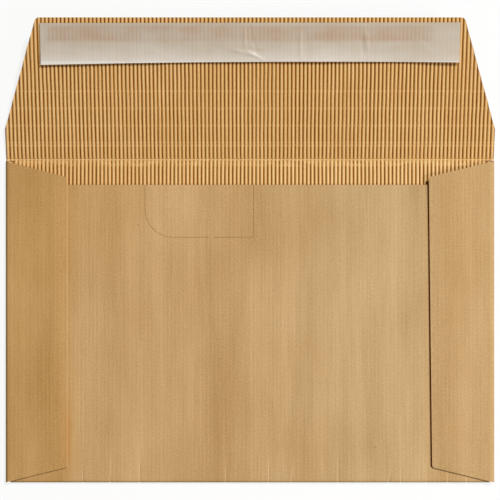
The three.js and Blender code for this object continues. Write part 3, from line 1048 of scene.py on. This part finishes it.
def kraft_finish():
    """Make the smooth brown liner."""
    finish = Finish("kraft", roughness=0.62)
    across, height = finish.axis("X"), finish.axis("Y")
    bands = finish.noise(13, 150, 60, detail=3)
    streaks = finish.noise(2.6, 30, 20, detail=3)
    lines = finish.noise(0.5, 7, 5)
    clouds = finish.noise(45, 60, 45)
    fibres = finish.noise(0.45, 0.9, 0.7, detail=3, roughness=0.7)
    ribs = (across * (2 * math.pi / pitch)).sine()
    ribs = ribs * (0.6 + finish.noise(9, 30, 30) * 2.4).share()
    tone = 0.5 + bands * 0.75 + streaks * 0.3 + lines * 0.3 + clouds * 0.5
    tone = tone + fibres * 1.45 + ribs * 0.06
    # Set by place: the tone is shifted lighter or darker across the sheet and is darker at the upper
    # left.
    past_left_flap = across.rise(-96 * MM, -86 * MM)
    upper_left = height.rise(score_y - 68 * MM, score_y - 22 * MM)
    upper_left = upper_left * (1 - across.rise(-72 * MM, -38 * MM))
    tone = tone - 0.03 + past_left_flap * 0.09 - across.rise(-50 * MM, -15 * MM) * 0.17
    tone = tone - upper_left * 0.12
    warm = finish.blend(tone.share(), linear(169, 128, 73), linear(213, 172, 116))
    pale = finish.blend(tone.share(), linear(176, 144, 98), linear(220, 188, 142))
    # Painted sheen: right of the left side flap, and further towards the right, the colour is mixed
    # towards paler, less saturated shades. The upper left and the right side flap get less of it.
    paler = past_left_flap * 0.55 + across.rise(-10 * MM, 70 * MM) * 0.45
    paler = paler - across.rise(86 * MM, 98 * MM) * 0.35 - upper_left * 0.3
    colour = finish.blend((paler + clouds * 0.5).share(), warm, pale)

    sockets = {"Vector": finish.stretched(15, 19, 17), "Scale": 1.0}
    bark = finish.node("ShaderNodeTexVoronoi", {"feature": "F1"}, sockets)
    speck = ((0.028 + finish.noise(25, 25, 25) * 0.06 - bark) * 50).share()
    colour = finish.blend(speck * 0.4, colour, linear(110, 74, 38))

    upper_side = finish.axis("Z").rise(board, 1.5 * board)
    # An orange-brown tint on the paper along the left side flap's edge, lower down.
    left_edge_tint = height.step(tint_low, 6 * MM) * (1 - height.rise(tint_high - 22 * MM, tint_high))
    left_edge_tint = left_edge_tint * upper_side * across.near(left_edge_x, 0.3 * MM, 3.2 * MM)
    left_edge_tint = left_edge_tint * (0.5 + finish.noise(3, 12, 12))
    colour = finish.blend((left_edge_tint * 0.9).share(), colour, linear(190, 128, 62))

    beside_flap = upper_side * (1 - height.step(side_flap_head, 0.5 * MM))
    beside_flap = beside_flap * height.step(side_flap_foot, 0.5 * MM)
    # Painted highlight: a pale line along the left side flap's edge, which faces the main lamp.
    painted_left_edge_highlight = beside_flap * across.near(left_edge_x, 0.1 * MM, 0.45 * MM)
    colour = finish.blend(painted_left_edge_highlight * 0.3, colour, linear(228, 194, 138))
    down = (score_y - height).share() * (1 / body_height)
    from_right_edge = across - right_edge_x - down * narrowing[1]
    # Painted shadow: a dark brown line on the paper beside the right side flap's edge, in the gap
    # under it.
    painted_gap_shadow = beside_flap * from_right_edge.near(-0.35 * MM, 0.15 * MM, 0.5 * MM)
    colour = finish.blend(painted_gap_shadow * 0.95, colour, linear(138, 72, 0))

    # Painted highlight: a pale line is painted along each crimp.
    colour = finish.blend(finish.mark("crimp") * 0.4, colour, linear(232, 198, 148))
    colour = finish.blend(finish.mark("cut_edge") * 0.6, colour, linear(216, 172, 112))
    # Painted shade: the walls of the score's groove are painted darker brown.
    colour = finish.blend(finish.mark("painted_groove_shade") * 0.6, colour, linear(134, 92, 46))
    finish.put("Base Color", colour)
    finish.bump(ribs * 0.4 + fibres * 0.5 + lines * 0.4)
    return finish.material


wear(liner, kraft_finish())


# %% [markdown]
# ### Fluted medium
#
# The medium is a cheaper, more golden paper. Its crests catch the light. The valleys are painted
# darker and redder than shade alone makes them: painted shade and bounce light from brown paper to
# brown paper down there, with some glue stain where the paper touches the liner. The painted
# darkness follows the depth that was kept on the points when the wave was pressed. In the mouth the
# crests turn a little paler towards the right.


# %% The medium's finish
def medium_finish():
    """Make the corrugated medium, with painted shade down in its valleys."""
    finish = Finish("medium", roughness=0.75)
    flute_tone = finish.noise(2.6, 45, 30)
    clouds = finish.noise(40, 40, 40)
    fibres = finish.noise(0.7, 1.8, 1.2, detail=3, roughness=0.7)
    tone = 0.5 + flute_tone * 1.1 + clouds * 0.4 + fibres * 1.3
    crest = finish.blend(tone.share(), linear(213, 169, 107), linear(251, 214, 158))
    in_mouth = 1 - finish.axis("Y").rise(score_y - MM, score_y)
    in_mouth = in_mouth * finish.axis("X").rise(-80 * MM, 80 * MM)
    crest = finish.blend(in_mouth * 0.32, crest, linear(251, 224, 172))
    # Painted shade, with some glue stain: the valleys get darker, redder colours by their depth.
    depth = finish.mark("valley") + flute_tone * 0.35 + fibres * 0.15
    colour = finish.blend(depth.rise(0.08, 0.62), crest, linear(192, 140, 66))
    colour = finish.blend(depth.rise(0.4, 0.95), colour, linear(119, 63, 0))
    colour = finish.blend(finish.mark("cut_edge") * 0.2, colour, linear(226, 190, 134))
    finish.put("Base Color", colour)
    finish.bump(fibres * 0.8)
    return finish.material


wear(flute, medium_finish())


# %% [markdown]
# ### Release paper, adhesive and glue
#
# The release paper is thin and silicone-coated: off-white, a little shiny, and see-through. Where
# it touches the adhesive it is wetted out. There it lets the pinkish glue and the ribs of the
# flutes show through. Where it stands free it is painted nearly white, for light that gets in
# behind it, and its free edge has a painted highlight.


# %% The release paper's finish
band_high = score_y + adhesive_top * math.cos(flap_lift) - adhesive_base * math.sin(flap_lift)
band_low = band_high - adhesive_height * math.cos(flap_lift)
strip_low = band_high - (adhesive_top - strip_foot) * math.cos(flap_lift)


def release_finish():
    """Make the thin silicone paper."""
    finish = Finish("release", roughness=0.38, shine=0.4)
    clouds = finish.noise(22, 7, 22)
    streaks = finish.noise(1.2, 30, 20)
    across, height = finish.axis("X"), finish.axis("Y")
    # Painted light: the free lower part is painted paler, less so to the right, and its edge gets a
    # painted highlight.
    lower = 1 - height.rise(strip_low, band_low + MM)
    lower = lower * (1 - across.rise(40 * MM, 110 * MM) * 0.6)
    painted_edge_highlight = 1 - height.rise(strip_low + 0.3 * MM, strip_low + 0.9 * MM)
    tone = (0.08 + lower * lower * 0.65 + clouds * 0.5 + streaks * 0.25 + painted_edge_highlight * 0.7).share()
    colour = finish.blend(tone, linear(200, 187, 168), linear(232, 228, 222))

    ragged = finish.noise(2, 9, 9) * 1.2 * MM
    in_band = (height + ragged).rise(band_low - MM, band_low + 0.8 * MM)
    in_band = in_band * (1 - height.step(band_high, 0.6 * MM))
    in_band = in_band * across.step(adhesive_left, MM)
    in_band = in_band * (1 - across.rise(adhesive_right - 4 * MM, adhesive_right + 2 * MM))
    ribs = 0.5 + (across * (2 * math.pi / pitch) - 0.5 * math.pi).sine() * 0.5
    wetted = in_band * (0.2 + ribs * 0.4 + finish.noise(12, 8, 12) * 1.6) + ribs * 0.12
    colour = finish.blend(wetted.share(), colour, linear(193, 162, 136))
    finish.put("Base Color", colour)
    finish.put("Alpha", 0.87 + lower * 0.09 - in_band * 0.03)
    finish.bump(streaks * 0.4)
    return finish.material


wear(paper, release_finish())


# %% The adhesive and the seam glue
def glue_finish(name, dark, light, roughness):
    """Make a soft glue with slow streaks."""
    finish = Finish(name, roughness, shine=0.5)
    streaks = finish.noise(1.6, 12, 10)
    finish.put("Base Color", finish.blend((0.5 + streaks * 1.6).share(), dark, light))
    finish.bump(streaks, 0.06 * MM)
    return finish.material


wear(adhesive, glue_finish("pressure_adhesive", linear(178, 118, 82), linear(206, 152, 112), 0.4))
seam_glue = glue_finish("seam_glue", linear(196, 166, 112), linear(226, 202, 154), 0.35)
for name in ("left_seam_glue", "right_seam_glue"):
    wear(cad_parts[name], seam_glue)

# %% [markdown]
# ## Floor, light and camera
#
# The envelope lies on a white table and the camera looks straight down. The main lamp is far off,
# up beyond the flap and to the right, so that it lights the sheet evenly, and edges that face left
# or down throw a thin shadow. A nearer lamp at the right makes that side a little brighter, and a
# dim, warm sky fills the shadows, as light that comes back from a room does. The camera sees that
# sky as plain white. The table shows its shadows near the envelope and turns plain white further
# out, so that no horizon shows.


# %% The floor
table_size = 6
table_drop = 0.2 * MM
glow_near = 0.84  # share of plain white under the envelope
glow_start, glow_full = 0.18, 0.6  # the distances, in metres, between which it grows to 1


def floor_finish():
    """Make a white floor that keeps the shadow and looks white to the camera."""
    finish = Finish("floor", roughness=0.9)
    finish.put("Base Color", (0.9, 0.9, 0.9, 1.0))
    glow = {"Color": (1.0, 1.0, 1.0, 1.0), "Strength": finish.seen_directly()}
    settings = {"operation": "LENGTH"}
    reach = finish.node("ShaderNodeVectorMath", settings, {0: finish.place}, output="Value")
    shares = {
        0: glow_near + reach.rise(glow_start, glow_full) * (1 - glow_near),
        1: Value(finish, finish.surface.outputs[0]),
        2: finish.node("ShaderNodeEmission", None, glow),
    }
    both = finish.node("ShaderNodeMixShader", None, shares)
    finish.fill(finish.tree.nodes["Material Output"].inputs["Surface"], both)
    return finish.material


deselect_all()
bpy.ops.mesh.primitive_plane_add(size=table_size, location=(0, 0, -table_drop))
floor = bpy.context.object
floor.name = "table_top"
wear(floor, floor_finish())

# %% The sky
world = bpy.data.worlds.new("sky")
bpy.context.scene.world = world
world.use_nodes = True
sky = Web(world.node_tree)
warm = {"Color": (1.0, 0.86, 0.66, 1.0), "Strength": 0.17}
white = {"Color": (1.0, 1.0, 1.0, 1.0), "Strength": 1.0}
room = sky.node("ShaderNodeBackground", None, warm)
backdrop = sky.node("ShaderNodeBackground", None, white)
both = sky.node("ShaderNodeMixShader", None, {0: sky.seen_directly(), 1: room, 2: backdrop})
sky.fill(sky.tree.nodes["World Output"].inputs["Surface"], both)
sky.tree.nodes.remove(sky.tree.nodes["Background"])


# %% The lamps
def lamp(name, place, size, power):
    """Add a square lamp that faces the envelope."""
    bpy.ops.object.light_add(type="AREA", location=place)
    light = bpy.context.object
    light.name = name
    light.data.size = size
    light.data.energy = power
    light.rotation_euler = (-Vector(place)).to_track_quat("-Z", "Y").to_euler()


lamp("key_lamp", place=(2.0, 2.4, 4.0), size=0.7, power=222)
lamp("side_lamp", place=(0.5, -0.15, 0.45), size=0.15, power=1.3)

# %% The camera
camera_height = 0.6
body_plane = 3.5 * MM
photo_width = 255.4 * MM
sensor = 36
below_score = 45.9 * MM
lens = sensor * (camera_height - body_plane) / photo_width
bpy.ops.object.camera_add(location=(0, score_y - below_score, camera_height), rotation=(0, 0, 0))
camera = bpy.context.object
camera.data.sensor_width = sensor
camera.data.lens = lens
camera.data.clip_end = 10
bpy.context.scene.camera = camera
bpy.context.scene.view_settings.view_transform = "Standard"
print("lens in mm:", round(lens, 2))
